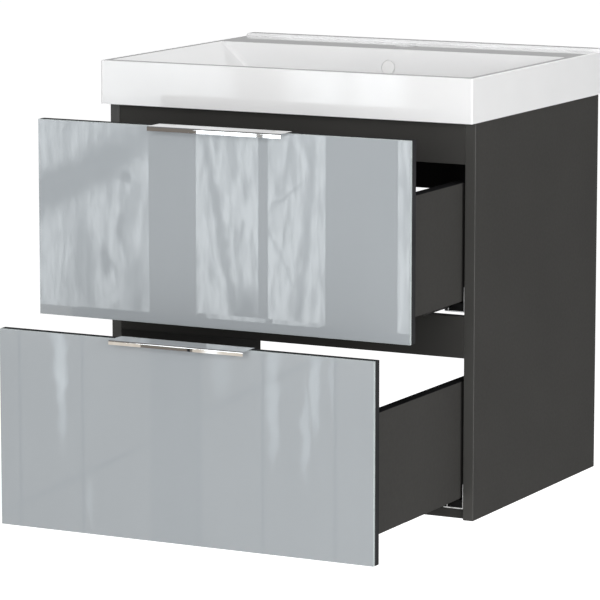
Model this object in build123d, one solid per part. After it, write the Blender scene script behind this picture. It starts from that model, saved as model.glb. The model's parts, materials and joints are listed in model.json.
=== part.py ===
from build123d import *
import os

# Wall-hung bathroom vanity: a carcass open at the back, a one-piece washbasin on top, and two
# drawers on concealed full-extension runners.
# Frame: the wall is the plane Y = 0, the front faces -Y, X = 0 is mid-width and Z = 0 is the
# line where the washbasin rests on the carcass. The drawers stand partly open.

# ---------------------------------------------------------------- driving dimensions, mm
WIDTH = 600.0
DEPTH = 470.0
CARCASS_H = 571.5
BASIN_H = 64.0
UPSTAND_H = 4.5
UPSTAND_D = 17.0

BOARD = 16.0                    # laminated chipboard of carcass and drawers
EDGE_R = 0.8                    # rounding of the edge banding
SIDE_INSET = 4.0                # the basin overhangs the side panels by this
CARCASS_FRONT = -449.0
CARCASS_REAR = -8.0
INNER_X = WIDTH / 2 - SIDE_INSET - BOARD

RAIL_H = 60.0                   # top and middle front rails
MIDDLE_RAIL_TOP = -277.0
BACK_RAIL_H = 157.5
LOW_BACK_RAIL_H = 44.0
BOTTOM_SETBACK = 10.0

BOWL_X = 289.0                  # half width of the bowl at its rim
BOWL_FRONT = -455.0
BOWL_REAR = -118.0
FLOOR_X = 160.0                 # half width of the bowl floor
FLOOR_FRONT = -395.0
FLOOR_REAR = -135.0
FLOOR_Z = -40.0
BOWL_WALL = 9.0
BOWL_CORNER_R = 5.5             # creases of the bowl, inside
SHELL_CORNER_R = 14.5           # the same creases on the underside
BASIN_SKIRT = 14.0
BASIN_DECK = 14.0
BASIN_CORNER_R = 2.4            # upright front corners
BASIN_EDGE_R = 1.8              # upper edges
UNDERSIDE_CORNER_R = 6.0
RIM_R = 1.6
UPSTAND_END_R = 4.2
UPSTAND_FRONT_R = 1.2
TAP_HOLE_R = 17.5
TAP_HOLE_Y = -62.5
WASTE_R = 22.5
WASTE_Y = -268.0
WASTE_BOSS_R = 32.0
WASTE_BOSS_H = 24.0
DISH_R = 62.0                   # the floor dips towards the waste hole
DISH_DEPTH = 3.0
DUCT_X = 17.0                   # overflow duct behind and below the bowl
DUCT_REAR = -98.0
DUCT_LOW = -63.0
DUCT_HIGH = BASIN_H - 8
DUCT_FRONT = WASTE_Y - 16
DUCT_WALL = 5.0
CHANNEL_DEPTH = 6.0             # clear depth of the duct behind the bowl
CHANNEL_HEIGHT = 5.0            # clear height of the duct under the bowl
CHANNEL_HIGH = BASIN_H - 20
OVERFLOW_DROP = 28.0            # overflow centre below the rim
OVERFLOW_HOLE_R = 8.0
OVERFLOW_DRILL = (-22.0, 2.0)    # along the hole's axis, from the channel into the bowl
OVERFLOW_SEAT_R = 11.7          # shallow round recess that the cap sits in
OVERFLOW_SEAT_DEPTH = 1.3
OVERFLOW_CAP_R = 10.6
OVERFLOW_CAP_T = 1.6
OVERFLOW_CAP_BACK = -0.3        # underside of the cap from the bowl's wall: water runs in behind it
OVERFLOW_RIB_L = 11.0
OVERFLOW_RIB_T = 1.6
OVERFLOW_RIB_PLAY = 0.4
OVERFLOW_CAP_EDGE_R = 0.7

FRONT_X = 295.0                 # half width of both drawer fronts
GLASS_T = 4.0
FRONT_BOARD_T = 12.0
FRONT_GAP = 1.0                 # between a closed front and the carcass
DRAWER_SIDE_X = 275.0
DRAWER_SIDE_H = 170.0
DRAWER_LENGTH = 400.0
DRAWER_BOTTOM_T = 12.0
BOTTOM_RECESS = 13.0            # drawer bottom above the lower edge of its sides
TRAP_X = 90.0                   # half width of the clear space for the drain trap
TRAP_DEPTH = 280.0
TRAP_WALL = 12.0
BACK_DROP = 85.0                # the backs of the drawers end this far below their sides

HANDLE_X = 105.5
HANDLE_REACH = 20.0             # in front of the glass
HANDLE_T = 1.3
HANDLE_LIP = 6.4
HANDLE_BEND_R = 0.7             # inside of the bend

RUNNER_LENGTH = 390.0
RUNNER_LEG_H = 36.0
RUNNER_BASE_W = 31.0
RUNNER_BASE_T = 1.5
SHEET = 1.2
SIDE_ABOVE_BASE = 15.0          # lower edge of a drawer side above the underside of its runner

# name, Z range of the front, underside of its runners, how far it stands open
DRAWERS = (
    ("upper", -285.2, -4.0, -271.0, 190.0),
    ("lower", -572.2, -290.4, -555.5, 301.0),
)

parts = {}


def block(x0, x1, y0, y1, z0, z1):
    """A box given by its lowest and highest corners."""
    size = Box(x1 - x0, y1 - y0, z1 - z0)
    return Pos((x0 + x1) / 2, (y0 + y1) / 2, (z0 + z1) / 2) * size


def board(x0, x1, y0, y1, z0, z1, radius=EDGE_R):
    """A panel with all its edges slightly rounded."""
    panel = block(x0, x1, y0, y1, z0, z1)
    return fillet(panel.edges(), radius)


def rod_x(x0, x1, y, z, radius):
    return Pos((x0 + x1) / 2, y, z) * Rot(0, 90, 0) * Cylinder(radius, abs(x1 - x0))


def rod_y(x, y0, y1, z, radius):
    return Pos(x, (y0 + y1) / 2, z) * Rot(90, 0, 0) * Cylinder(radius, abs(y1 - y0))


def rod_z(x, y, z0, z1, radius):
    return Pos(x, y, (z0 + z1) / 2) * Cylinder(radius, abs(z1 - z0))


def mirrored(shape):
    return mirror(shape, about=Plane.YZ)


def group(shapes):
    return Compound(children=[solid for shape in shapes for solid in shape.solids()])


# ---------------------------------------------------------------- carcass boards
carcass = {
    "right_side_panel": board(INNER_X, INNER_X + BOARD, CARCASS_FRONT, CARCASS_REAR, -CARCASS_H, 0),
    "bottom_panel": board(-INNER_X, INNER_X, CARCASS_FRONT + BOTTOM_SETBACK, CARCASS_REAR,
                          -CARCASS_H, -CARCASS_H + BOARD),
    "top_front_rail": board(-INNER_X, INNER_X, CARCASS_FRONT, CARCASS_FRONT + BOARD, -RAIL_H, 0),
    "middle_front_rail": board(-INNER_X, INNER_X, CARCASS_FRONT, CARCASS_FRONT + BOARD,
                               MIDDLE_RAIL_TOP - RAIL_H, MIDDLE_RAIL_TOP),
    "upper_back_rail": board(-INNER_X, INNER_X, CARCASS_REAR - BOARD, CARCASS_REAR, -BACK_RAIL_H, 0),
    "lower_back_rail": board(-INNER_X, INNER_X, CARCASS_REAR - BOARD, CARCASS_REAR,
                             -CARCASS_H + BOARD, -CARCASS_H + BOARD + LOW_BACK_RAIL_H),
}

# ---------------------------------------------------------------- dowels and cam fittings
DOWEL_R = 4.0
DOWEL_L = 30.0
DOWEL_IN_PANEL = 10.0
CAM_R = 7.5
CAM_DEPTH = 12.5
CAM_FROM_END = 24.0
BOLT_R = 3.0
BOLT_IN_PANEL = 11.0
BOLT_PLAY = 0.5                 # between a bolt and its hole in the rail
SLOT_L = 10.0                   # screwdriver slot of a cam
SLOT_W = 1.6
SLOT_DEPTH = 2.0
EDGE_TO_DOWEL = 9.0

FRONT_RAIL_Y = CARCASS_FRONT + BOARD / 2
BACK_RAIL_Y = CARCASS_REAR - BOARD / 2
LOW_RAIL_Z = -CARCASS_H + BOARD
BOTTOM_Z = -CARCASS_H + BOARD / 2


def rail_joint(name, y, low, high):
    """Two dowels and one cam bolt in the end of an upright rail: (board, kind, y, z)."""
    middle = (low + high) / 2
    return [(name, "dowel", y, low + EDGE_TO_DOWEL), (name, "dowel", y, high - EDGE_TO_DOWEL),
            (name, "cam", y, middle)]


joints = (
    rail_joint("top_front_rail", FRONT_RAIL_Y, -RAIL_H, 0)
    + rail_joint("middle_front_rail", FRONT_RAIL_Y, MIDDLE_RAIL_TOP - RAIL_H, MIDDLE_RAIL_TOP)
    + rail_joint("upper_back_rail", BACK_RAIL_Y, -BACK_RAIL_H, 0)
    + rail_joint("lower_back_rail", BACK_RAIL_Y, LOW_RAIL_Z, LOW_RAIL_Z + LOW_BACK_RAIL_H)
    + [("bottom_panel", "dowel", y, BOTTOM_Z) for y in (-405.0, -60.0)]
    + [("bottom_panel", "cam", y, BOTTOM_Z) for y in (-330.0, -120.0)]
)


def cam_disc(name, x, y, z, radius):
    """The round pocket of a cam, drilled from the hidden face of its board."""
    if name == "bottom_panel":
        return rod_z(x, y, -CARCASS_H, -CARCASS_H + CAM_DEPTH, radius)
    if name.endswith("front_rail"):
        return rod_y(x, CARCASS_FRONT + BOARD - CAM_DEPTH, CARCASS_FRONT + BOARD, z, radius)
    return rod_y(x, CARCASS_REAR - BOARD, CARCASS_REAR - BOARD + CAM_DEPTH, z, radius)


def cam_slot(name, x, y, z):
    """The screwdriver slot across the face of a cam."""
    if name == "bottom_panel":
        return Pos(x, y, -CARCASS_H + SLOT_DEPTH / 2) * Box(SLOT_L, SLOT_W, SLOT_DEPTH)
    if name.endswith("front_rail"):
        middle = CARCASS_FRONT + BOARD - SLOT_DEPTH / 2
    else:
        middle = CARCASS_REAR - BOARD + SLOT_DEPTH / 2
    return Pos(x, middle, z) * Box(SLOT_W, SLOT_DEPTH, SLOT_L)


dowels = []
cams = []
bolts = []
for name, kind, y, z in joints:
    if kind == "dowel":
        dowel = rod_x(INNER_X + DOWEL_IN_PANEL - DOWEL_L, INNER_X + DOWEL_IN_PANEL, y, z, DOWEL_R)
        carcass["right_side_panel"] -= dowel
        carcass[name] -= dowel + mirrored(dowel)
        dowels += [dowel, mirrored(dowel)]
    else:
        cam_x = INNER_X - CAM_FROM_END
        bolt = rod_x(cam_x, INNER_X + BOLT_IN_PANEL, y, z, BOLT_R)
        pocket = cam_disc(name, cam_x, y, z, CAM_R)
        cam = pocket - bolt - cam_slot(name, cam_x, y, z)
        cut = rod_x(cam_x, INNER_X + 1, y, z, BOLT_R + BOLT_PLAY) + pocket
        carcass["right_side_panel"] -= bolt
        carcass[name] -= cut + mirrored(cut)
        cams += [cam, mirrored(cam)]
        bolts += [bolt, mirrored(bolt)]

carcass["left_side_panel"] = mirrored(carcass["right_side_panel"])
parts.update(carcass)
parts["carcass_dowels"] = group(dowels)
parts["cam_locks"] = group(cams)
parts["cam_bolts"] = group(bolts)

# ---------------------------------------------------------------- wall plates and hangers
PLATE_X = (195.0, 265.0)
PLATE_Z = (-120.0, -70.0)
PLATE_T = 1.5
LIP_TOP = -56.0
LIP_Y = -5.5
HOOK_Y = -3.4
HANGER_TOP = -50.0
WALL_SCREW_R = 3.25
WALL_SCREW_Z = -95.0
WALL_SCREW_X = (212.0, 248.0)
RAIL_SCREW_R = 2.0
RAIL_SCREW_L = 14.0             # in the back rail
RAIL_SCREW_HEAD_R = 3.8
SCREW_HEAD_T = 1.6
HANGER_NARROWER = 10.0          # a hanger is this much narrower than its plate at each end


def wall_plate():
    """A bent steel strip on the wall whose lip stands off the wall and turns up."""
    x0, x1 = PLATE_X
    plate = block(x0, x1, -PLATE_T, 0, *PLATE_Z)
    shelf = block(x0, x1, LIP_Y, 0, PLATE_Z[1], PLATE_Z[1] + PLATE_T)
    lip = block(x0, x1, LIP_Y, LIP_Y + PLATE_T, PLATE_Z[1], LIP_TOP)
    holes = [rod_y(x, -PLATE_T - 1, 1, WALL_SCREW_Z, WALL_SCREW_R) for x in WALL_SCREW_X]
    return plate + shelf + lip - holes


def hanger():
    """A plate on the back rail whose top folds over and hooks behind the wall plate's lip."""
    x0, x1 = PLATE_X[0] + HANGER_NARROWER, PLATE_X[1] - HANGER_NARROWER
    rear = CARCASS_REAR
    plate = block(x0, x1, rear, rear + PLATE_T, PLATE_Z[0], HANGER_TOP)
    top = block(x0, x1, rear, HOOK_Y + PLATE_T, HANGER_TOP - PLATE_T, HANGER_TOP)
    hook = block(x0, x1, HOOK_Y, HOOK_Y + PLATE_T, PLATE_Z[1] + PLATE_T, HANGER_TOP)
    return plate + top + hook


def hanger_screw(x):
    """A pan-head screw through the hanger into the back rail."""
    plate = CARCASS_REAR + PLATE_T
    shank = rod_y(x, CARCASS_REAR - RAIL_SCREW_L, plate, WALL_SCREW_Z, RAIL_SCREW_R)
    head = rod_y(x, plate, plate + SCREW_HEAD_T, WALL_SCREW_Z, RAIL_SCREW_HEAD_R)
    return shank + head


hanger_screws = [hanger_screw(x) for x in WALL_SCREW_X]
right_hanger = hanger() - hanger_screws
parts["right_wall_plate"] = wall_plate()
parts["left_wall_plate"] = mirrored(parts["right_wall_plate"])
parts["right_cabinet_hanger"] = right_hanger
parts["left_cabinet_hanger"] = mirrored(right_hanger)
hanger_screws += [mirrored(screw) for screw in hanger_screws]
parts["hanger_screws"] = group(hanger_screws)
parts["upper_back_rail"] -= hanger_screws


# ---------------------------------------------------------------- washbasin
def bowl_solid(grow, floor_z, radius):
    """The tapering bowl, or its outside when grown by the wall thickness."""
    rim = Rectangle(2 * (BOWL_X + grow), BOWL_REAR - BOWL_FRONT + 2 * grow)
    floor = Rectangle(2 * (FLOOR_X + grow), FLOOR_REAR - FLOOR_FRONT + 2 * grow)
    rim_at = Pos(0, (BOWL_REAR + BOWL_FRONT) / 2, BASIN_H)
    floor_at = Pos(0, (FLOOR_REAR + FLOOR_FRONT) / 2, floor_z)
    bowl = loft([rim_at * rim, floor_at * floor])
    below_rim = [edge for edge in bowl.edges() if edge.center().Z < BASIN_H - 1]
    return fillet(below_rim, radius)


def washbasin():
    half = WIDTH / 2
    slab = block(-half, half, -DEPTH, 0, 0, BASIN_H)
    slab = fillet(slab.edges().filter_by(Axis.Z).group_by(Axis.Y)[0], BASIN_CORNER_R)
    slab = fillet(slab.faces().sort_by(Axis.Z)[-1].edges().sort_by(Axis.Y)[:-1], BASIN_EDGE_R)
    upstand = block(-half, half, -UPSTAND_D, 0, BASIN_H - BASIN_EDGE_R - 0.1, BASIN_H + UPSTAND_H)
    ends = upstand.edges().filter_by(Axis.Y).group_by(Axis.Z)[-1]
    upstand = fillet(ends, UPSTAND_END_R)
    front_edge = upstand.edges().filter_by(Axis.X).group_by(Axis.Z)[-1].sort_by(Axis.Y)[0]
    upstand = fillet(front_edge, UPSTAND_FRONT_R)

    shell = bowl_solid(BOWL_WALL, FLOOR_Z - BOWL_WALL - 1, SHELL_CORNER_R)
    hollow = block(-half + BASIN_SKIRT, half - BASIN_SKIRT, -DEPTH + BASIN_SKIRT, -BASIN_SKIRT,
                   0, BASIN_H - BASIN_DECK)
    hollow = fillet(hollow.edges().filter_by(Axis.Z), UNDERSIDE_CORNER_R)
    boss = rod_z(0, WASTE_Y, FLOOR_Z - WASTE_BOSS_H, FLOOR_Z, WASTE_BOSS_R)
    duct = block(-DUCT_X, DUCT_X, FLOOR_REAR, DUCT_REAR, DUCT_LOW, DUCT_HIGH)
    duct += block(-DUCT_X, DUCT_X, DUCT_FRONT, DUCT_REAR, DUCT_LOW, FLOOR_Z)

    bowl = bowl_solid(0, FLOOR_Z, BOWL_CORNER_R)
    body = slab - (hollow - shell) + shell + upstand + boss + duct - bowl

    inside_x = DUCT_X - DUCT_WALL
    channel_rear = DUCT_REAR - DUCT_WALL
    channel_low = DUCT_LOW + DUCT_WALL
    channel = block(-inside_x, inside_x, channel_rear - CHANNEL_DEPTH, channel_rear,
                    channel_low, CHANNEL_HIGH)
    channel += block(-inside_x, inside_x, WASTE_Y, channel_rear,
                     channel_low, channel_low + CHANNEL_HEIGHT)
    dish = Pos(0, WASTE_Y, FLOOR_Z - DISH_DEPTH / 2) * Cone(WASTE_R, DISH_R, DISH_DEPTH)
    waste = rod_z(0, WASTE_Y, FLOOR_Z - WASTE_BOSS_H - 1, FLOOR_Z + 1, WASTE_R)
    tap = rod_z(0, TAP_HOLE_Y, 0, BASIN_H + 1, TAP_HOLE_R)
    overflow = rod_z(0, 0, *OVERFLOW_DRILL, OVERFLOW_HOLE_R)
    overflow += rod_z(0, 0, -OVERFLOW_SEAT_DEPTH, OVERFLOW_DRILL[1], OVERFLOW_SEAT_R)
    body = body - channel - dish - waste - tap - overflow_frame() * overflow
    rim = [edge for edge in body.faces().filter_by(Axis.Z).filter_by(is_deck).edges()
           if is_bowl_rim(edge)]
    return fillet(rim, RIM_R)


def is_deck(face):
    return abs(face.center().Z - BASIN_H) < 0.01


def is_bowl_rim(edge):
    box = edge.bounding_box()
    inside_x = max(abs(box.min.X), abs(box.max.X)) < BOWL_X + 1
    inside_y = box.min.Y > BOWL_FRONT - 1 and box.max.Y < BOWL_REAR + 1
    return inside_x and inside_y


def overflow_frame():
    """On the rear wall of the bowl, Z pointing out of the wall into the bowl."""
    slope = (BOWL_REAR - FLOOR_REAR) / (BASIN_H - FLOOR_Z)
    origin = (0, BOWL_REAR - slope * OVERFLOW_DROP, BASIN_H - OVERFLOW_DROP)
    return Plane(origin=origin, x_dir=(1, 0, 0), z_dir=(0, -1, slope)).location


def overflow_cap():
    """A round cap in a shallow seat, held by crossed ribs that grip the overflow hole."""
    disc = rod_z(0, 0, OVERFLOW_CAP_BACK, OVERFLOW_CAP_BACK + OVERFLOW_CAP_T, OVERFLOW_CAP_R)
    disc = fillet(disc.edges().group_by(Axis.Z)[-1], OVERFLOW_CAP_EDGE_R)
    rib = Box(2 * OVERFLOW_HOLE_R - OVERFLOW_RIB_PLAY, OVERFLOW_RIB_T, OVERFLOW_RIB_L)
    cross = Pos(0, 0, OVERFLOW_CAP_BACK - OVERFLOW_RIB_L / 2) * (rib + Rot(0, 0, 90) * rib)
    return overflow_frame() * (disc + cross)


parts["washbasin"] = washbasin()
parts["overflow_cap"] = overflow_cap()


# ---------------------------------------------------------------- runners
# Sections are given on the right side: distance inwards from the side panel, height above
# the underside of the runner.
RIB = (24.6, 25.8)
RIB_H = 11.0
MIDDLE = (22.6, 27.8)
MIDDLE_H = (6.2, 14.2)
SLIDE = (21.2, 29.2)
SLIDE_WALL = 1.0
SLIDE_LOW = 12.6
RUNNER_FRONT = CARCASS_FRONT + 1
MIDDLE_FRONT = CARCASS_FRONT + 9
MIDDLE_LENGTH = 370.0
CAP_LENGTH = 18.0
CAP_BLOCK = 20.6                # the tall block of an end cap ends here, inwards
CAP_BLOCK_H = 13.0
CAP_FOOT_H = 5.4
GLIDE = (22.8, 27.6)
GLIDE_LENGTH = 24.0
GLIDE_FROM_END = 6.0
GLIDE_PLAY = 0.3
RUNNER_SCREW_Z = 24.0
RUNNER_SCREW_L = 12.0           # in the side panel
RUNNER_SCREW_R = 2.0
RUNNER_SCREW_HEAD_R = 3.4


def strip(base, inward, y0, y1, heights):
    """A straight bar on the right runner."""
    return block(INNER_X - inward[1], INNER_X - inward[0], y0, y1, base + heights[0], base + heights[1])


def channel_bar(base, inward, y0, y1, heights, wall, top):
    """An upside-down U: two walls and a top."""
    outside = strip(base, inward, y0, y1, heights)
    gap = (inward[0] + wall, inward[1] - wall)
    return outside - strip(base, gap, y0, y1, (heights[0], heights[1] - top))


def cabinet_rail(base):
    """L-section bolted to the side panel, with a rib that guides the middle member."""
    y0, y1 = RUNNER_FRONT, RUNNER_FRONT + RUNNER_LENGTH
    leg = strip(base, (0, SHEET), y0, y1, (0, RUNNER_LEG_H))
    foot = strip(base, (0, RUNNER_BASE_W), y0, y1, (0, RUNNER_BASE_T))
    rib = strip(base, RIB, y0, y1, (RUNNER_BASE_T, RIB_H))
    return leg + foot + rib


def end_cap(base):
    """A plastic stop in the front end of the cabinet rail."""
    y0, y1 = RUNNER_FRONT, RUNNER_FRONT + CAP_LENGTH
    stop = strip(base, (SHEET, CAP_BLOCK), y0, y1, (RUNNER_BASE_T, CAP_BLOCK_H))
    foot = strip(base, (CAP_BLOCK, RIB[0]), y0, y1, (RUNNER_BASE_T, CAP_FOOT_H))
    inner = strip(base, (RIB[1], RUNNER_BASE_W), y0, y1, (RUNNER_BASE_T, CAP_FOOT_H))
    return group([stop + foot, inner])


def runner_screw(base, y):
    """A screw through the leg into the side panel."""
    z = base + RUNNER_SCREW_Z
    leg = INNER_X - SHEET
    shank = rod_x(leg, INNER_X + RUNNER_SCREW_L, y, z, RUNNER_SCREW_R)
    head = rod_x(leg - SCREW_HEAD_T, leg, y, z, RUNNER_SCREW_HEAD_R)
    return shank + head


def middle_member(base, shift):
    y0 = MIDDLE_FRONT - shift
    return channel_bar(base, MIDDLE, y0, y0 + MIDDLE_LENGTH, MIDDLE_H, SHEET, SHEET)


def glides(base, shift):
    """Plastic blocks on the middle member that carry the drawer member."""
    heights = (MIDDLE_H[1], SIDE_ABOVE_BASE + BOTTOM_RECESS - SHEET - GLIDE_PLAY)
    last = MIDDLE_LENGTH - GLIDE_LENGTH - GLIDE_FROM_END
    blocks = []
    for offset in (GLIDE_FROM_END, MIDDLE_LENGTH / 2, last):
        y0 = MIDDLE_FRONT - shift + offset
        blocks.append(strip(base, GLIDE, y0, y0 + GLIDE_LENGTH, heights))
    return blocks


def drawer_member(base, opened):
    y0 = RUNNER_FRONT - opened
    heights = (SLIDE_LOW, SIDE_ABOVE_BASE + BOTTOM_RECESS)
    return channel_bar(base, SLIDE, y0, y0 + RUNNER_LENGTH, heights, SLIDE_WALL, SHEET)


SCREW_YS = (-410.0, -250.0, -90.0)
runner_screws = []
caps = []
for name, _, _, base, opened in DRAWERS:
    rail = cabinet_rail(base)
    for y in SCREW_YS:
        screw = runner_screw(base, y)
        rail -= screw
        parts["right_side_panel"] -= screw
        parts["left_side_panel"] -= mirrored(screw)
        runner_screws += [screw, mirrored(screw)]
    cap = end_cap(base)
    caps += [cap, mirrored(cap)]
    right_side = {
        "runner_rail": rail,
        "runner_middle": middle_member(base, opened / 2),
        "runner_glides": group(glides(base, opened / 2)),
        "runner_slide": drawer_member(base, opened),
    }
    for piece, shape in right_side.items():
        parts[f"{name}_right_{piece}"] = shape
        parts[f"{name}_left_{piece}"] = mirrored(shape)
parts["runner_screws"] = group(runner_screws)
parts["runner_end_caps"] = group(caps)


# ---------------------------------------------------------------- drawers
HANDLE_SCREW_X = (-80.0, 80.0)
BRACKET = 22.0
BRACKET_H = 90.0
BRACKET_T = 1.5
BRACKET_ABOVE_BOTTOM = 10.0
CLIP_INWARD = (29.6, 62.0)
CLIP_LENGTH = 46.0
CLIP_H = 9.0
LEVER_INWARD = (48.0, 58.0)
LEVER_LENGTH = 30.0
LEVER_H = 6.0
HANDLE_SCREW_R = 1.75
HANDLE_SCREW_HEAD_R = 3.4
HANDLE_SCREW_HEAD_H = 2.2
HANDLE_SCREW_L = 22.0           # in the front board
FRONT_BOARD_EDGE_R = 0.5
GLASS_EDGE_R = 0.6


def handle(face, top):
    """A bent strip: a flange on the top edge of the front and a lip turned down in front."""
    back = face + GLASS_T + FRONT_BOARD_T
    nose = face - HANDLE_REACH
    bar = block(-HANDLE_X, HANDLE_X, nose, back, top, top + HANDLE_T)
    bar += block(-HANDLE_X, HANDLE_X, nose, nose + HANDLE_T, top + HANDLE_T - HANDLE_LIP, top + HANDLE_T)
    outer = [edge for edge in bar.edges().filter_by(Axis.X)
             if edge.center().Y < nose + 0.01 and edge.center().Z > top + HANDLE_T - 0.01]
    inner = [edge for edge in bar.edges().filter_by(Axis.X)
             if abs(edge.center().Y - nose - HANDLE_T) < 0.01 and abs(edge.center().Z - top) < 0.01]
    bar = fillet(outer, HANDLE_BEND_R + HANDLE_T)
    return fillet(bar.edges().filter_by(Axis.X).sort_by_distance(inner[0].center())[0], HANDLE_BEND_R)


def handle_screw(x, face, top):
    """Countersunk, flush with the flange, down into the top edge of the board."""
    y = face + GLASS_T + FRONT_BOARD_T / 2
    neck = top + HANDLE_T - HANDLE_SCREW_HEAD_H / 2
    head = Pos(x, y, neck) * Cone(HANDLE_SCREW_R, HANDLE_SCREW_HEAD_R, HANDLE_SCREW_HEAD_H)
    shank = rod_z(x, y, top - HANDLE_SCREW_L, neck, HANDLE_SCREW_R)
    return head + shank


def front_bracket(back, low):
    """A steel angle in the corner of the drawer side and the front."""
    x1 = DRAWER_SIDE_X - BOARD
    z0 = low + BOTTOM_RECESS + DRAWER_BOTTOM_T + BRACKET_ABOVE_BOTTOM
    on_side = block(x1 - BRACKET_T, x1, back, back + BRACKET, z0, z0 + BRACKET_H)
    on_front = block(x1 - BRACKET, x1, back, back + BRACKET_T, z0, z0 + BRACKET_H)
    return on_side + on_front


def locking_clip(base, back):
    """A plastic catch under the drawer bottom that holds the drawer to its runner."""
    top = SIDE_ABOVE_BASE + BOTTOM_RECESS
    front = back + 1
    body = strip(base, CLIP_INWARD, front, back + CLIP_LENGTH, (top - CLIP_H, top))
    lever = strip(base, LEVER_INWARD, front, back + LEVER_LENGTH, (top - CLIP_H - LEVER_H, top - CLIP_H))
    return body + lever


for name, front_low, front_high, base, opened in DRAWERS:
    face = CARCASS_FRONT - FRONT_GAP - FRONT_BOARD_T - GLASS_T - opened
    back = face + GLASS_T + FRONT_BOARD_T
    rear = back + DRAWER_LENGTH
    low = base + SIDE_ABOVE_BASE
    high = low + DRAWER_SIDE_H
    inner_x = DRAWER_SIDE_X - BOARD
    floor_low = low + BOTTOM_RECESS
    floor_high = floor_low + DRAWER_BOTTOM_T
    back_high = high - BACK_DROP

    screws = [handle_screw(x, face, front_high) for x in HANDLE_SCREW_X]
    front_board = board(-FRONT_X, FRONT_X, face + GLASS_T, back, front_low, front_high,
                        FRONT_BOARD_EDGE_R)
    parts[f"{name}_front_glass"] = board(-FRONT_X, FRONT_X, face, face + GLASS_T, front_low, front_high,
                                         GLASS_EDGE_R)
    parts[f"{name}_front_board"] = front_board - screws
    parts[f"{name}_handle"] = handle(face, front_high) - screws
    parts[f"{name}_handle_screws"] = group(screws)

    side = board(inner_x, DRAWER_SIDE_X, back, rear, low, high)
    parts[f"{name}_drawer_right_side"] = side
    parts[f"{name}_drawer_left_side"] = mirrored(side)
    bottom = block(-inner_x, inner_x, back, rear, floor_low, floor_high)
    if name == "upper":
        trap_front = rear - TRAP_DEPTH
        wall_x = TRAP_X + TRAP_WALL
        bottom -= block(-TRAP_X, TRAP_X, trap_front, rear, floor_low, floor_high)
        back_board = board(wall_x, inner_x, rear - BOARD, rear, floor_high, back_high)
        wall = board(TRAP_X, wall_x, trap_front, rear, floor_high, back_high)
        parts["upper_drawer_right_back"] = back_board
        parts["upper_drawer_left_back"] = mirrored(back_board)
        parts["trap_recess_right_wall"] = wall
        parts["trap_recess_left_wall"] = mirrored(wall)
        parts["trap_recess_front_wall"] = board(-wall_x, wall_x, trap_front - TRAP_WALL, trap_front,
                                                floor_high, back_high)
    else:
        parts["lower_drawer_back"] = board(-inner_x, inner_x, rear - BOARD, rear,
                                           floor_high, back_high)
    parts[f"{name}_drawer_bottom"] = bottom

    bracket = front_bracket(back, low)
    clip = locking_clip(base, back)
    parts[f"{name}_front_brackets"] = group([bracket, mirrored(bracket)])
    parts[f"{name}_locking_clips"] = group([clip, mirrored(clip)])

# ---------------------------------------------------------------- one file per node
os.makedirs("parts", exist_ok=True)
for name, shape in parts.items():
    export_step(shape, f"parts/{name}.step")
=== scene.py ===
import json
import math

import bmesh
import bpy
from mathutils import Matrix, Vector


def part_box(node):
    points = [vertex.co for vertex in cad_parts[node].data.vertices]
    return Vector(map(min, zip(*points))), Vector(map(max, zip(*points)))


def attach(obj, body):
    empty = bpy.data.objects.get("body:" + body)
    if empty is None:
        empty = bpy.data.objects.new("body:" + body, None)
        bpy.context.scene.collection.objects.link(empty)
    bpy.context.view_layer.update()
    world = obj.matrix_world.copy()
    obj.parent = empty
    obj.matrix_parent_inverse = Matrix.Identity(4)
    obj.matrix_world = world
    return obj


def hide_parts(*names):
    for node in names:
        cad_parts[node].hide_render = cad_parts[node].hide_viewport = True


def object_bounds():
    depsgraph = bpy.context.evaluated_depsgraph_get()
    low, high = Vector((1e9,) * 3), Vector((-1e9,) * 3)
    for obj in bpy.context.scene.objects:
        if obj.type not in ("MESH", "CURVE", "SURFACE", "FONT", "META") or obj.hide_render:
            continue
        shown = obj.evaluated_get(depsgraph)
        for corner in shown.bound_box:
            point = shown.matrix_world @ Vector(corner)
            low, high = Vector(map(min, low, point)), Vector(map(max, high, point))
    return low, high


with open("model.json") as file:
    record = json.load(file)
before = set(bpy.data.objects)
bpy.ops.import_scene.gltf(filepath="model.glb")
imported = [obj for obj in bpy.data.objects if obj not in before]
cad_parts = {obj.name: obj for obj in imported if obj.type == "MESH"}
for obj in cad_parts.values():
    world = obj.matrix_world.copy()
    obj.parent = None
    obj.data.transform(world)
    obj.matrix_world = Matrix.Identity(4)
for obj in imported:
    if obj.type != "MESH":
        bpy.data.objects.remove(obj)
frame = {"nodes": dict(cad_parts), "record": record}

# Looks of the wall-hung vanity: materials for the carried-over CAD nodes, finer glass panels,
# edge bands on the boards, a plain studio and the camera. Everything is in metres, in the frame
# of the CAD model.

MM = 0.001
cad_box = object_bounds()
nodes = frame["nodes"]
scene = bpy.context.scene


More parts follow.
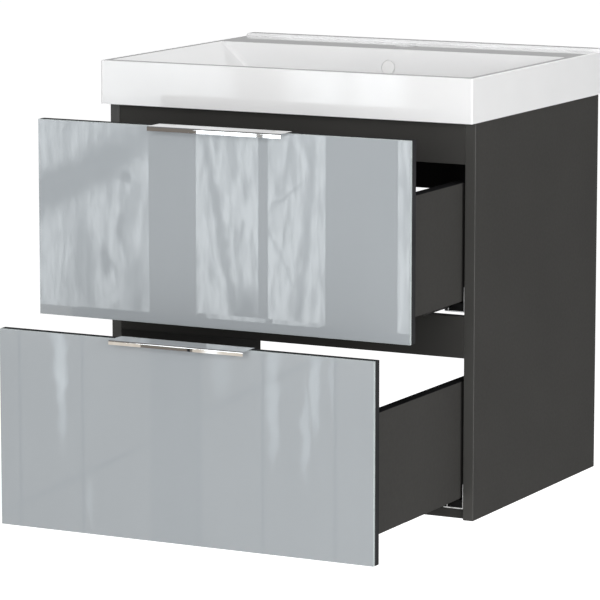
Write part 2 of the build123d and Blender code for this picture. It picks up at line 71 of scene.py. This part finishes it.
# ---------------------------------------------------------------- node helpers
class Surface:
    """A node material with a Principled shader, and short ways to add nodes to it."""

    def __init__(self, name, **sockets):
        self.material = bpy.data.materials.new(name)
        self.material.use_nodes = True
        self.tree = self.material.node_tree
        self.shader = self.tree.nodes["Principled BSDF"]
        self.place = self.add("ShaderNodeTexCoord").outputs["Object"]
        for socket, value in sockets.items():
            self.shader.inputs[socket.replace("_", " ")].default_value = value

    def add(self, kind, inputs=None, **settings):
        """A new node, its inputs linked or set and its settings made."""
        node = self.tree.nodes.new(kind)
        for key, value in settings.items():
            setattr(node, key, value)
        for key, value in (inputs or {}).items():
            if isinstance(value, bpy.types.NodeSocket):
                self.tree.links.new(value, node.inputs[key])
            else:
                node.inputs[key].default_value = value
        return node

    def stretched(self, scale):
        """Object coordinates, each axis scaled on its own."""
        mapping = self.add("ShaderNodeMapping", {"Vector": self.place, "Scale": scale})
        return mapping.outputs["Vector"]

    def noise(self, scale, detail=2.0, stretch=None, distortion=0.0):
        """Cloudy pattern from 0 to 1, with about `scale` clouds to the metre."""
        place = self.stretched(stretch) if stretch else self.place
        node = self.add("ShaderNodeTexNoise", {"Vector": place, "Scale": scale, "Detail": detail,
                                               "Distortion": distortion})
        return node.outputs["Fac"]

    def spread(self, value, low, high, start=0.3, end=0.7):
        """Maps value from start..end onto low..high."""
        node = self.add("ShaderNodeMapRange", {"Value": value, "From Min": start, "From Max": end,
                                               "To Min": low, "To Max": high})
        return node.outputs["Result"]

    def blend(self, factor, first, second):
        """Colour that goes from first to second as the factor goes from 0 to 1."""
        node = self.add("ShaderNodeMix", {"Factor": factor}, data_type="RGBA")
        for socket, value in zip((node.inputs[6], node.inputs[7]), (first, second)):
            if isinstance(value, bpy.types.NodeSocket):
                self.tree.links.new(value, socket)
            else:
                socket.default_value = (*value, 1.0)
        return node.outputs[2]

    def calculate(self, operation, first, second):
        """One arithmetic step on two values."""
        return self.add("ShaderNodeMath", {0: first, 1: second}, operation=operation).outputs[0]

    def drive(self, socket, value):
        """Links a value to a socket of the Principled shader."""
        self.tree.links.new(value, self.shader.inputs[socket])

    def tint(self, pattern, first, second):
        """Base colour that wanders between two colours with the pattern."""
        self.drive("Base Color", self.blend(self.spread(pattern, 0.0, 1.0), first, second))

    def bump(self, height, distance, strength, after=None):
        """Normal of a surface with this height pattern, on top of an earlier bump."""
        inputs = {"Height": height, "Distance": distance, "Strength": strength}
        if after is not None:
            inputs["Normal"] = after
        return self.add("ShaderNodeBump", inputs).outputs["Normal"]


# ---------------------------------------------------------------- materials
def anthracite_laminate():
    """Melamine-faced chipboard: near-black grey with a fine pearl structure."""
    s = Surface("anthracite_laminate", IOR=1.14)
    cloud = s.noise(9.0, detail=3.0)
    speck = s.noise(1500.0, detail=1.0)
    tone = s.blend(s.spread(cloud, 0.0, 1.0), (0.0462, 0.0450, 0.0426), (0.0497, 0.0485, 0.0458))
    tone = s.blend(s.spread(speck, 0.0, 0.35, 0.55, 0.75), tone, (0.060, 0.060, 0.058))
    s.drive("Base Color", tone)
    s.drive("Roughness", s.spread(s.noise(220.0), 0.42, 0.52))
    pearl = s.bump(s.noise(900.0, detail=3.0), 0.00004, 0.55)
    s.drive("Normal", s.bump(s.noise(60.0), 0.0001, 0.12, after=pearl))
    return s.material


def edge_band():
    """Smooth plastic banding on the edges of the carcass boards, glossier than their faces."""
    s = Surface("edge_band", IOR=1.45)
    s.tint(s.noise(12.0), (0.055, 0.054, 0.051), (0.059, 0.058, 0.055))
    s.drive("Roughness", s.spread(s.noise(12.0), 0.30, 0.34))
    return s.material


def painted_shade_edge_band(name, tone):
    """Dull banding on the edges of the drawer boards and fronts, darker than the laminate of the
    boards' faces: this darker tone is painted shade.
    """
    s = Surface(name, IOR=1.02)
    s.tint(s.noise(15.0), (tone, tone, tone * 1.05), (tone * 1.35, tone * 1.35, tone * 1.4))
    s.drive("Roughness", s.spread(s.noise(200.0), 0.6, 0.7))
    s.drive("Normal", s.bump(s.noise(900.0), 0.00003, 0.2))
    return s.material


def white_glaze():
    """High gloss white, glossiest where it lies level and the glaze has run smooth."""
    s = Surface("white_glaze", IOR=1.5)
    s.tint(s.noise(14.0), (0.825, 0.827, 0.83), (0.845, 0.846, 0.848))
    facing = s.add("ShaderNodeTexCoord").outputs["Normal"]
    upward = s.add("ShaderNodeSeparateXYZ", {"Vector": facing}).outputs["Z"]
    s.drive("Roughness", s.spread(upward, 0.065, 0.015, 0.85, 0.98))
    return s.material


def back_painted_glass():
    """Clear float glass over grey-blue paint: flat paint under a sharp clear surface."""
    s = Surface("back_painted_glass", Roughness=0.5, IOR=1.5, Coat_Weight=1.0, Coat_Roughness=0.0,
                Coat_IOR=1.52, Specular_IOR_Level=0.0)
    s.tint(s.noise(7.0), (0.352, 0.378, 0.398), (0.358, 0.384, 0.404))
    s.drive("Coat Normal", s.bump(s.noise(4.0, detail=0.0), 0.0003, 0.1))
    return s.material


def glass_edge():
    """Ground edge of the glass: lighter, faintly green and satin."""
    s = Surface("glass_edge", IOR=1.5)
    s.tint(s.noise(40.0), (0.44, 0.49, 0.49), (0.48, 0.53, 0.525))
    s.drive("Roughness", s.spread(s.noise(60.0), 0.26, 0.32))
    return s.material


def polished_chrome():
    """Bright chrome with hairlines from polishing along its length."""
    s = Surface("polished_chrome", Metallic=1.0)
    hair = s.noise(90.0, detail=3.0, stretch=(0.05, 12.0, 12.0))
    s.tint(s.noise(20.0), (0.76, 0.76, 0.765), (0.81, 0.81, 0.81))
    s.drive("Roughness", s.spread(hair, 0.004, 0.018))
    s.drive("Normal", s.bump(hair, 0.00001, 0.02))
    return s.material


def zinc_plate():
    """Bright zinc on rolled steel: drawn along the rail, with cloudy patches."""
    s = Surface("zinc_plate", Metallic=0.3)
    cloud = s.noise(55.0, detail=4.0)
    drawn = s.noise(260.0, detail=2.0, stretch=(6.0, 0.05, 6.0))
    s.tint(cloud, (0.78, 0.79, 0.80), (0.88, 0.885, 0.89))
    s.drive("Roughness", s.spread(cloud, 0.24, 0.38))
    s.drive("Normal", s.bump(drawn, 0.00003, 0.2))
    return s.material


def dark_steel():
    """Phosphated steel of the runners' middle members, kept dark partly as painted shade for the
    inside of the runners.
    """
    s = Surface("dark_steel", Metallic=1.0)
    # Dark tone: partly the steel's own finish, partly painted shade inside the runners.
    s.tint(s.noise(80.0), (0.10, 0.10, 0.10), (0.17, 0.165, 0.16))
    s.drive("Roughness", s.spread(s.noise(140.0), 0.32, 0.5))
    s.drive("Normal", s.bump(s.noise(700.0), 0.00003, 0.25))
    return s.material


def nickel_steel():
    """Nickel plate on screws, cam bolts and cam locks."""
    s = Surface("nickel_steel", Metallic=1.0)
    s.tint(s.noise(200.0), (0.58, 0.57, 0.55), (0.68, 0.67, 0.64))
    s.drive("Roughness", s.spread(s.noise(400.0), 0.2, 0.32))
    return s.material


def black_plastic():
    """Moulded plastic with a fine spark-eroded grain, near black: partly its own colour, partly
    painted shade inside the runners.
    """
    s = Surface("black_plastic", IOR=1.2)
    # Near-black tone: partly the plastic's own colour, partly painted shade inside the runners.
    s.tint(s.noise(60.0), (0.005, 0.005, 0.005), (0.009, 0.009, 0.009))
    s.drive("Roughness", s.spread(s.noise(500.0), 0.42, 0.56))
    s.drive("Normal", s.bump(s.noise(1800.0), 0.00003, 0.4))
    return s.material


def white_plastic():
    """Glossy moulded plastic."""
    s = Surface("white_plastic", IOR=1.48)
    s.tint(s.noise(90.0), (0.83, 0.83, 0.825), (0.86, 0.86, 0.855))
    s.drive("Roughness", s.spread(s.noise(300.0), 0.12, 0.2))
    s.drive("Normal", s.bump(s.noise(900.0), 0.00002, 0.15))
    return s.material


def beech_wood():
    """Beech of the dowels, its grain along their length."""
    s = Surface("beech_wood")
    grain = s.noise(90.0, detail=4.0, stretch=(0.15, 5.0, 5.0))
    s.tint(grain, (0.50, 0.33, 0.18), (0.66, 0.47, 0.29))
    s.drive("Roughness", s.spread(grain, 0.5, 0.65))
    return s.material


FINISHES = {
    "white_ceramic": white_glaze(),
    "chrome": polished_chrome(),
    "back_painted_glass": back_painted_glass(),
    "anthracite_board": anthracite_laminate(),
    "beech_wood": beech_wood(),
    "plated_steel": nickel_steel(),
    "zinc_plated_steel": zinc_plate(),
    "dark_steel": dark_steel(),
    "black_plastic": black_plastic(),
    "white_plastic": white_plastic(),
}
GLASS_EDGE = glass_edge()
CARCASS_BAND = edge_band()
# Painted shade: both bands are darker copies of the board laminate, so that their edges read as
# shaded.
DRAWER_BAND_SHADED = painted_shade_edge_band("drawer_band_painted_shade", 0.011)
FRONT_BAND_SHADED = painted_shade_edge_band("front_band_painted_shade", 0.029)

for subpart in frame["record"]["subparts"]:
    for material_slot in nodes[subpart["node"]].material_slots:
        material_slot.material = FINISHES[subpart["material_slot"]]


# ---------------------------------------------------------------- pieces made here
def box_between(low, high):
    """A box between two corners, ready for its edges to be worked."""
    bm = bmesh.new()
    bmesh.ops.create_cube(bm, size=1.0)
    for vertex in bm.verts:
        vertex.co = [low[i] if vertex.co[i] < 0 else high[i] for i in range(3)]
    return bm


def piece(name, bm, finishes, body):
    """A finished mesh as an object that moves with a body of the CAD model."""
    mesh = bpy.data.meshes.new(name)
    bm.to_mesh(mesh)
    bm.free()
    for finish in finishes:
        mesh.materials.append(finish)
    obj = bpy.data.objects.new(name, mesh)
    scene.collection.objects.link(obj)
    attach(obj, body)
    return obj


# ---------------------------------------------------------------- glass panels
ARRIS = 0.55 * MM               # ground off all the edges of a pane
FACING = 0.99                   # a face with more of its normal than this along Y is a large face


def glass_panel(drawer):
    """A pane with ground and arrised edges, in place of the plain CAD pane."""
    bm = box_between(*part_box(f"{drawer}_front_glass"))
    bmesh.ops.bevel(bm, geom=bm.edges[:], offset=ARRIS, segments=2, affect="EDGES", profile=0.5)
    for face in bm.faces:
        face.material_index = 0 if abs(face.normal.y) > FACING else 1
    finishes = (FINISHES["back_painted_glass"], GLASS_EDGE)
    panel = piece(f"{drawer}_glass_panel", bm, finishes, f"{drawer}_drawer")
    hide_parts(f"{drawer}_front_glass")


for drawer in ("upper", "lower"):
    glass_panel(drawer)


# ---------------------------------------------------------------- edge bands
BAND_T = 0.25 * MM              # how far a band stands proud of the board's edge
BAND_SUNK = 0.78 * MM           # how far it wraps into the rounding of the board's edges
BAND_R = 0.9 * MM               # rounding of the band's own outer edges
TOUCHING = 0.001 * MM
# The axis of each edge face, and whether it is at the low or the high corner of the board
EDGE_FACES = {"front": (1, 0), "left": (0, 0), "right": (0, 1), "bottom": (2, 0), "top": (2, 1)}


def edge_strip(board, side, body, material):
    """A banding strip on one edge face of a board, its outer corners rounded."""
    axis, end = EDGE_FACES[side]
    corners = [list(corner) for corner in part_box(board)]
    outward = 1 if end else -1
    edge = corners[end][axis]
    outer = edge + outward * BAND_T
    corners[end][axis] = outer
    corners[1 - end][axis] = edge - outward * BAND_SUNK
    bm = box_between(*corners)
    rounded = [e for e in bm.edges if all(abs(v.co[axis] - outer) < TOUCHING for v in e.verts)]
    bmesh.ops.bevel(bm, geom=rounded, offset=BAND_R, segments=4, affect="EDGES", profile=0.5)
    for face in bm.faces:
        face.smooth = True
    band = piece(f"{board}_{side}_band", bm, (material,), body)
    flat = band.modifiers.new("flat faces", "WEIGHTED_NORMAL")
    flat.keep_sharp = True


for board in ("left_side_panel", "right_side_panel"):
    edge_strip(board, "front", "cabinet", CARCASS_BAND)
for drawer in ("upper", "lower"):
    for board in ("left_side", "right_side"):
        edge_strip(f"{drawer}_drawer_{board}", "top", f"{drawer}_drawer", DRAWER_BAND_SHADED)
    for side in ("left", "right", "bottom", "top"):
        edge_strip(f"{drawer}_front_board", side, f"{drawer}_drawer", FRONT_BAND_SHADED)


# ---------------------------------------------------------------- studio
FLOOR_DROP = 0.90               # the floor lies this far below the hung cabinet
FLOOR_HALF = 60.0
DAYLIGHT = (0.93, 0.98, 1.0)

# A studio wall with windows, seen only in glossy surfaces
WALL_Y = -3.0
WALL_X = (-2.6, -0.2)
WALL_Z = (-1.40, 1.4)
SILL_Z = -0.708
WINDOW_TOP = 0.50
BLIND_Z = -0.316                # blinds reach down to here, so only the upper handle mirrors them
BLINDS = ((-1.330, -1.294), (-1.177, -1.153), (-1.153, -1.136))     # shaded, bright and dim
LOW_PANELS = ((-2.6, -1.316), (-1.194, -0.2))
LOW_BARS = (-1.6265, -1.4735, -1.1975, -1.0475, -0.881)
BAR_WIDTH = 0.007
LAYER = 0.01                    # each layer of the wall stands this far in front of the last
WAVER = (0.030, 0.0, 0.05)      # how far the outlines of trees and glints wander
ELLIPSE_EDGE = (0.45, 1.6)      # where the soft edge of an ellipse starts and ends, in half axes

# Brightness behind the object: X range, Z range and strength of each card
REAR_Y = 4.5
REAR_CARDS = {
    "studio_high_rear": ((-1.6, 1.8), (1.6, 4.2), 1.35),
    "studio_low_rear": ((-3.2, 1.8), (0.1, 1.6), 0.30),
}

# The lower half of the light on the right, as the upright edges mirror it
RIGHT_X = 5.0
RIGHT_Y = (-4.8, -0.4)
RIGHT_Z = (-2.3, 0.05)
RIGHT_STRENGTH = 4.3

# Lights: place, size, power, and whether glossy surfaces mirror them
AIM = (0.0, -0.35, -0.25)       # about the middle of the cabinet
LIGHTS = {
    "front_light": ((1.2, -9.0, 1.4), 5.0, 452.0, False),
    "right_light": ((5.0, -2.6, -0.1), 4.5, 278.0, False),
    "left_light": ((-4.6, -1.6, 1.2), 2.4, 12.0, True),
    "rear_light": ((-1.0, 4.6, 1.8), 2.6, 60.0, False),
    "top_light": ((0.6, -1.0, 6.0), 3.0, 105.0, False),
}
AMBIENT = 0.21

# Windows: X range, mean daylight, and the dark shapes of the trees outside, each a soft-edged
# ellipse: middle X and Z, half width, half length, lean from upright in degrees, darkness
WINDOWS = (
    ((-1.79, -1.4375), 0.92, (
        (-1.630, -0.430, 0.044, 0.270, 63, 1.0), (-1.494, -0.419, 0.017, 0.015, 0, 1.0),
        (-1.509, -0.530, 0.010, 0.028, 8, 0.9), (-1.543, -0.605, 0.014, 0.034, 0, 0.9),
        (-1.600, -0.600, 0.026, 0.120, -6, 0.6), (-1.470, -0.650, 0.034, 0.070, 0, 0.6),
        (-1.640, -0.330, 0.006, 0.060, 10, 0.5))),
    ((-1.3235, -1.175), 1.08, (
        (-1.266, -0.510, 0.011, 0.215, -11, 0.75), (-1.203, -0.700, 0.034, 0.062, 0, 1.0),
        (-1.218, -0.510, 0.004, 0.026, -6, 0.5))),
    ((-1.1525, -1.0175), 1.08, (
        (-1.062, -0.490, 0.009, 0.240, 5, 0.6), (-1.112, -0.440, 0.004, 0.060, 48, 0.5),
        (-1.118, -0.570, 0.004, 0.090, -30, 0.4))),
    ((-0.851, -0.824), 1.08, ()),
)
WINDOW_SEED = 3.7               # moves the streaks on from one window to the next
WINDOW_STRENGTH = (0.20, 4.9)   # where the trees are thickest, and in the open sky

# Below the sill: soft glints, each middle X and Z, half width, half length and brightness
GLINTS = ((-1.532, -0.790, 0.014, 0.060, 2.9), (-1.528, -0.885, 0.010, 0.070, 1.6),
          (-1.545, -0.720, 0.012, 0.035, 1.5), (-1.030, -0.850, 0.013, 0.095, 2.0),
          (-1.024, -0.715, 0.014, 0.050, 1.2), (-0.932, -0.800, 0.010, 0.080, 2.2),
          (-0.954, -0.890, 0.009, 0.080, 1.8), (-0.895, -0.770, 0.006, 0.060, 0.9),
          (-1.462, -1.085, 0.007, 0.050, 0.9), (-1.150, -0.770, 0.020, 0.060, 0.8))
PLASTER_FADE = (0.090, 0.035)   # between these depths below the sill, the plaster darkens

# The stair rail: middle X and Z of its two lengths, their lean in degrees and their half size
HANDRAIL = ((-1.492, -1.030), (-1.066, -0.804))
RAIL_LEAN = 63
RAIL_HALF = (0.006, 0.21)


def stage_mesh(name, corners, material):
    """One flat face of the studio, which isn't part of the object."""
    mesh = bpy.data.meshes.new(name)
    mesh.from_pydata(corners, [], [tuple(range(len(corners)))])
    mesh.materials.append(material)
    obj = bpy.data.objects.new(name, mesh)
    scene.collection.objects.link(obj)
    return obj


def floor_material():
    """Pale and matt, with a glow towards the camera that keeps it near white."""
    s = Surface("pale_floor", Roughness=0.9)
    s.drive("Base Color", s.blend(s.noise(3.0), (0.54, 0.54, 0.54), (0.56, 0.56, 0.56)))
    s.shader.inputs["Emission Color"].default_value = (1.0, 1.0, 1.0, 1.0)
    camera_ray = s.add("ShaderNodeLightPath").outputs["Is Camera Ray"]
    s.drive("Emission Strength", s.spread(camera_ray, 0.0, 0.9, 0.0, 1.0))
    return s.material


def floor():
    """A wide level floor, some way below the cabinet, which hangs on a wall."""
    z = cad_box[0][2] - FLOOR_DROP
    half = FLOOR_HALF
    corners = [(-half, -half, z), (half, -half, z), (half, half, z), (-half, half, z)]
    stage_mesh("floor", corners, floor_material())


def glow(name, color, strength):
    """A material that only shines, with its emission node for patterns to drive."""
    s = Surface(name)
    emission = s.add("ShaderNodeEmission", {"Color": (*color, 1.0), "Strength": strength})
    s.tree.links.new(emission.outputs[0], s.tree.nodes["Material Output"].inputs["Surface"])
    return s, emission


def plain_glow(name, color, strength):
    """A material that shines evenly."""
    s, _ = glow(name, color, strength)
    return s.material


def glossy_card(name, corners, material):
    """A card that only glossy surfaces see."""
    obj = stage_mesh(name, corners, material)
    obj.visible_camera = False
    obj.visible_diffuse = False
    obj.visible_shadow = False
    obj.visible_transmission = False


def upright_card(name, x_range, z_range, y, material):
    """A glossy-only card parallel to the drawer fronts."""
    (x0, x1), (z0, z1) = x_range, z_range
    glossy_card(name, [(x0, y, z0), (x1, y, z0), (x1, y, z1), (x0, y, z1)], material)


def wavering(s):
    """The place on the wall, shifted about so that what is drawn with it looks grown."""
    noise = s.add("ShaderNodeTexNoise", {"Vector": s.place, "Scale": 26.0, "Detail": 2.0})
    about_zero = s.add("ShaderNodeVectorMath", {0: noise.outputs["Color"], 1: (0.5, 0.5, 0.5)},
                       operation="SUBTRACT")
    shift = s.add("ShaderNodeVectorMath", {0: about_zero.outputs["Vector"], 1: WAVER},
                  operation="MULTIPLY")
    moved = s.add("ShaderNodeVectorMath", {0: s.place, 1: shift.outputs["Vector"]}, operation="ADD")
    return moved.outputs["Vector"]


def soft_ellipse(s, place, middle_x, middle_z, half_width, half_length, lean, y):
    """0 inside a leaning ellipse on the wall, 1 outside, with a soft edge."""
    placed = s.add("ShaderNodeMapping", {"Vector": place, "Location": (middle_x, y, middle_z),
                                         "Rotation": (0.0, math.radians(lean), 0.0),
                                         "Scale": (half_width, 1.0, half_length)},
                   vector_type="TEXTURE")
    reach = s.add("ShaderNodeVectorMath", {0: placed.outputs["Vector"]}, operation="LENGTH")
    start, end = ELLIPSE_EDGE
    smooth = s.add("ShaderNodeMapRange", {"Value": reach.outputs["Value"], "From Min": start,
                                          "From Max": end}, interpolation_type="SMOOTHSTEP")
    return smooth.outputs["Result"]


def window_glow(name, mean, shapes, y, seed):
    """Daylight through bare trees: upright streaks, and the dark shapes of boughs and trunks."""
    s, emission = glow(name, DAYLIGHT, 1.0)
    bent = wavering(s)
    moved = s.add("ShaderNodeMapping", {"Vector": s.place, "Location": (seed, 0.0, seed)})
    s.place = moved.outputs["Vector"]
    trunks = s.noise(40.0, detail=3.0, stretch=(1.0, 1.0, 0.24), distortion=0.4)
    branches = s.noise(110.0, detail=3.0, stretch=(1.0, 1.0, 0.16), distortion=0.5)
    light = s.calculate("MULTIPLY", s.spread(trunks, 0.42, 1.0, 0.36, 0.54),
                        s.spread(branches, 0.62, 1.0, 0.32, 0.58))
    for middle_x, middle_z, half_width, half_length, lean, darkness in shapes:
        outside = soft_ellipse(s, bent, middle_x, middle_z, half_width, half_length, lean, y)
        light = s.calculate("MULTIPLY", light, s.spread(outside, 1.0 - darkness, 1.0, 0.0, 1.0))
    thick, clear = WINDOW_STRENGTH
    strength = s.spread(light, thick, clear * mean, 0.0, 1.0)
    s.tree.links.new(strength, emission.inputs["Strength"])
    return s.material


def low_wall_glow(y):
    """Warm plaster below the sill, darker downwards, with a stair rail and cool soft glints."""
    s, emission = glow("low_wall", (1.0, 1.0, 1.0), 1.0)
    height = s.add("ShaderNodeSeparateXYZ", {"Vector": s.place}).outputs["Z"]
    start, end = (SILL_Z - depth for depth in PLASTER_FADE)
    plaster = s.spread(height, 0.65, 0.90, start, end)
    for middle_x, middle_z in HANDRAIL:
        outside = soft_ellipse(s, s.place, middle_x, middle_z, *RAIL_HALF, RAIL_LEAN, y)
        plaster = s.calculate("MULTIPLY", plaster, s.spread(outside, 0.2, 1.0, 0.0, 1.0))
    streaks = s.noise(50.0, detail=2.0, stretch=(1.0, 1.0, 0.1))
    glints = s.spread(streaks, 0.0, 0.12, 0.40, 0.70)
    bent = wavering(s)
    for middle_x, middle_z, half_width, half_length, brightness in GLINTS:
        outside = soft_ellipse(s, bent, middle_x, middle_z, half_width, half_length, 0, y)
        glints = s.calculate("ADD", glints, s.spread(outside, brightness, 0.0, 0.0, 1.0))
    color = s.blend(glints, (0.86, 0.78, 0.68), (0.90, 0.97, 1.0))
    s.tree.links.new(color, emission.inputs["Color"])
    s.tree.links.new(s.calculate("ADD", plaster, glints), emission.inputs["Strength"])
    return s.material


def studio_wall():
    """What the glass and the chrome mirror towards the camera."""
    wall_y, panel_y, window_y, blind_y = (WALL_Y + layer * LAYER for layer in range(4))
    shade = plain_glow("wall_shade", (0.30, 0.27, 0.24), 0.75)
    upright_card("studio_wall", WALL_X, WALL_Z, wall_y, shade)
    plaster = low_wall_glow(panel_y)
    for index, x_range in enumerate(LOW_PANELS):
        upright_card(f"studio_low_wall_{index}", x_range, (WALL_Z[0], SILL_Z), panel_y, plaster)
    dark = plain_glow("bar_shade", (0.03, 0.03, 0.03), 1.0)
    for index, x in enumerate(LOW_BARS):
        x_range = (x - BAR_WIDTH / 2, x + BAR_WIDTH / 2)
        upright_card(f"studio_bar_{index}", x_range, (WALL_Z[0], SILL_Z), window_y, dark)
    for index, (x_range, mean, shapes) in enumerate(WINDOWS):
        daylight = window_glow(f"daylight_{index}", mean, shapes, window_y, WINDOW_SEED * index)
        upright_card(f"studio_window_{index}", x_range, (SILL_Z, WINDOW_TOP), window_y, daylight)
    bright = plain_glow("blind_bright", DAYLIGHT, 3.0)
    dim = plain_glow("blind_dim", (0.93, 0.92, 0.90), 0.45)
    for index, (x_range, material) in enumerate(zip(BLINDS, (shade, bright, dim))):
        upright_card(f"studio_blind_{index}", x_range, (BLIND_Z, WINDOW_TOP), blind_y, material)


def rear_cards():
    """What the deck and the sloping sides of the bowl mirror."""
    for name, (x_range, z_range, strength) in REAR_CARDS.items():
        upright_card(name, x_range, z_range, REAR_Y, plain_glow(name, (1.0, 1.0, 1.0), strength))


def right_card():
    """What the upright front edges mirror."""
    (y0, y1), (z0, z1) = RIGHT_Y, RIGHT_Z
    corners = [(RIGHT_X, y0, z0), (RIGHT_X, y1, z0), (RIGHT_X, y1, z1), (RIGHT_X, y0, z1)]
    glossy_card("studio_right", corners,
                plain_glow("studio_right", (1.0, 1.0, 1.0), RIGHT_STRENGTH))


def softbox(name, place, size, power, glossy):
    """A square area light aimed at the middle of the cabinet."""
    light = bpy.data.lights.new(name, "AREA")
    light.size = size
    light.energy = power
    obj = bpy.data.objects.new(name, light)
    obj.location = place
    towards = Vector(AIM) - Vector(place)
    obj.rotation_euler = towards.to_track_quat("-Z", "Y").to_euler()
    obj.visible_glossy = glossy
    obj.visible_camera = False
    scene.collection.objects.link(obj)


def daylight_world():
    """White behind the object, dimmer for everything that it lights or is mirrored in."""
    world = bpy.data.worlds.new("studio")
    scene.world = world
    world.use_nodes = True
    tree = world.node_tree
    path = tree.nodes.new("ShaderNodeLightPath")
    shade = tree.nodes.new("ShaderNodeMix")
    shade.inputs[2].default_value = AMBIENT
    shade.inputs[3].default_value = 1.0
    background = tree.nodes["Background"]
    background.inputs["Color"].default_value = (1.0, 1.0, 1.0, 1.0)
    tree.links.new(path.outputs["Is Camera Ray"], shade.inputs[0])
    tree.links.new(shade.outputs[0], background.inputs["Strength"])


floor()
studio_wall()
rear_cards()
right_card()
for light_name, settings in LIGHTS.items():
    softbox(light_name, *settings)
daylight_world()

scene.view_settings.view_transform = "Standard"
scene.view_settings.look = "None"

# ---------------------------------------------------------------- camera
LENS = 227.43                   # millimetres, on a sensor 36 mm wide
STATION = (2.50677, -5.25944, 0.59447)
TILT, TURN = 80.911, 27.352     # degrees up from straight down, and round to the left

camera_data = bpy.data.cameras.new("camera")
camera_data.lens = LENS
camera_data.sensor_width = 36.0
camera_data.clip_end = 200.0
camera = bpy.data.objects.new("camera", camera_data)
camera.location = STATION
camera.rotation_euler = (math.radians(TILT), 0.0, math.radians(TURN))
scene.collection.objects.link(camera)
scene.camera = camera
